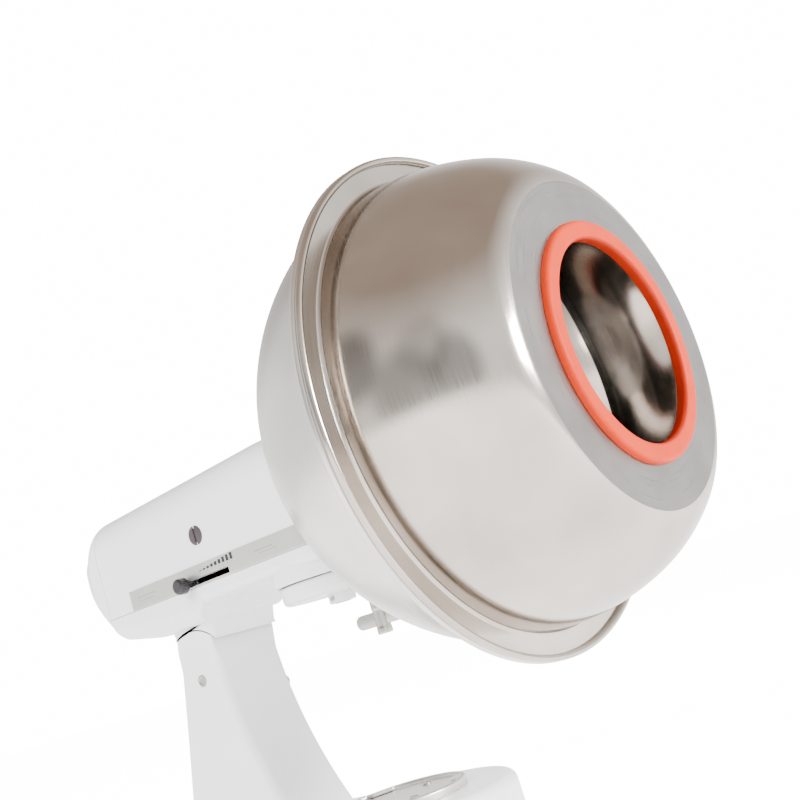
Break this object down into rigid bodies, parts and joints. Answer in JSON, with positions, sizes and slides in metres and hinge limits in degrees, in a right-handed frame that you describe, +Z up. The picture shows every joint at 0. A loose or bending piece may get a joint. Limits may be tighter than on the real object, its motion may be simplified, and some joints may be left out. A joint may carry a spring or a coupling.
{
  "type": "stand mixer with coating pan",
  "caption": "Tilt-head stand mixer whose power hub turns a two-part steel coating pan with an orange rubber mouth ring.",
  "frame": {"origin": "on the table, under the middle of the object's box", "axes": "+X along the hub axis towards the pan's mouth, +Y the mixer's left, +Z up"},
  "size_m": [0.607, 0.3899, 0.505],
  "materials": {
    "white_enamel": "glossy white enamel on die-cast aluminium",
    "satin_band": "satin aluminium strip",
    "pan_steel": "polished spun stainless steel",
    "silicone_ring": "orange-red silicone rubber",
    "black_plastic": "moulded black plastic",
    "brush_cap_plastic": "dark moulded plastic",
    "foot_rubber": "matt grey-black rubber",
    "gear_steel": "machined steel",
    "shaft_steel": "ground steel",
    "zinc_screw": "bright zinc plate",
    "bronze": "sintered bronze",
    "copper": "enamelled copper winding",
    "laminate": "varnished steel laminations",
    "cast_alloy": "as-cast aluminium",
    "nylon": "natural nylon",
    "carbon": "pressed carbon",
    "board": "glass-epoxy board"
  },
  "bodies": {
    "stand": {"base_casting": "white_enamel", "rubber_feet": "foot_rubber", "bowl_clamp_plate": "pan_steel", "clamp_plate_screws": "zinc_screw", "column_casting": "white_enamel", "column_bolts": "zinc_screw", "hinge_pin": "shaft_steel"},
    "head": {"gear_case": "white_enamel", "head_housing": "white_enamel", "rear_cover": "white_enamel", "rear_cover_screws": "zinc_screw", "cord_gland": "black_plastic", "trim_band": "satin_band", "head_screws": "zinc_screw", "motor_stator": "laminate", "stator_coils": "copper", "rear_bracket": "cast_alloy", "motor_end_frame": "cast_alloy", "motor_bearings": "bronze", "brush_holders": "bronze", "carbon_brushes": "carbon", "brush_springs": "zinc_screw", "brush_caps": "brush_cap_plastic", "control_board": "board", "wheel_bush": "bronze", "centre_bushes": "bronze", "hub_bushes": "bronze", "adapter_tube": "shaft_steel", "ring_gear": "gear_steel"},
    "head_lock": {"lock_lever": "shaft_steel", "lock_knob": "black_plastic"},
    "armature": {"armature_shaft": "shaft_steel", "worm": "gear_steel", "armature_core": "laminate", "commutator": "copper", "cooling_fan": "nylon"},
    "reduction": {"wheel_shaft": "shaft_steel", "worm_wheel": "nylon", "drive_pinion": "gear_steel"},
    "planetary": {"centre_shaft": "shaft_steel", "centre_gear": "gear_steel", "planetary_housing": "white_enamel", "roll_pin": "shaft_steel"},
    "beater": {"beater_shaft": "shaft_steel", "beater_bar": "shaft_steel", "planet_pinion": "gear_steel"},
    "pan": {"pan_rear_shell": "pan_steel", "pan_front_shell": "pan_steel", "mouth_ring": "silicone_ring", "pan_back_plate": "pan_steel", "pan_drive_shaft": "shaft_steel", "pan_bolts": "zinc_screw", "pan_nuts": "zinc_screw", "thrust_washer": "nylon", "hub_bevel_gear": "gear_steel"},
    "speed_control": {"speed_lever": "satin_band", "speed_knob": "black_plastic"},
    "hub_screw": {"hub_thumb_screw": "black_plastic"}
  },
  "joints": [
    {"name": "head_tilt", "type": "hinge", "parent": "stand", "child": "head", "pos_m": [-0.1715, 0, 0.176], "axis": [0, -1, 0], "range_deg": [0, 25]},
    {"name": "head_lock_turn", "type": "hinge", "parent": "stand", "child": "head_lock", "pos_m": [-0.1515, 0, 0.154], "axis": [0, 1, 0], "range_deg": [0, 60]},
    {"name": "pan_spin", "type": "hinge", "parent": "head", "child": "pan", "pos_m": [0.1835, 0, 0.31], "axis": [1, 0, 0], "continuous": true},
    {"name": "planetary_spin", "type": "hinge", "parent": "head", "child": "planetary", "pos_m": [-0.0165, 0, 0.22], "axis": [0, 0, 1], "continuous": true},
    {"name": "beater_spin", "type": "hinge", "parent": "planetary", "child": "beater", "pos_m": [0.0185, 0, 0.2], "axis": [0, 0, 1], "continuous": true},
    {"name": "reduction_spin", "type": "hinge", "parent": "head", "child": "reduction", "pos_m": [-0.0569, 0.022, 0.28], "axis": [0, 0, 1], "continuous": true},
    {"name": "armature_spin", "type": "hinge", "parent": "head", "child": "armature", "pos_m": [-0.18, 0, 0.295], "axis": [1, 0, 0], "continuous": true},
    {"name": "speed_slide", "type": "slide", "parent": "head", "child": "speed_control", "axis": [1, 0, 0], "range_m": [0, 0.05]},
    {"name": "hub_screw_turn", "type": "hinge", "parent": "head", "child": "hub_screw", "pos_m": [0.035, 0.05, 0.31], "axis": [0, 1, 0], "range_deg": [0, 360]}
  ],
  "couplings": [
    {"joint": "planetary_spin", "follows": "pan_spin", "ratio": 0.66667},
    {"joint": "beater_spin", "follows": "pan_spin", "ratio": -3},
    {"joint": "reduction_spin", "follows": "pan_spin", "ratio": -2.4},
    {"joint": "armature_spin", "follows": "pan_spin", "ratio": 36}
  ]
}
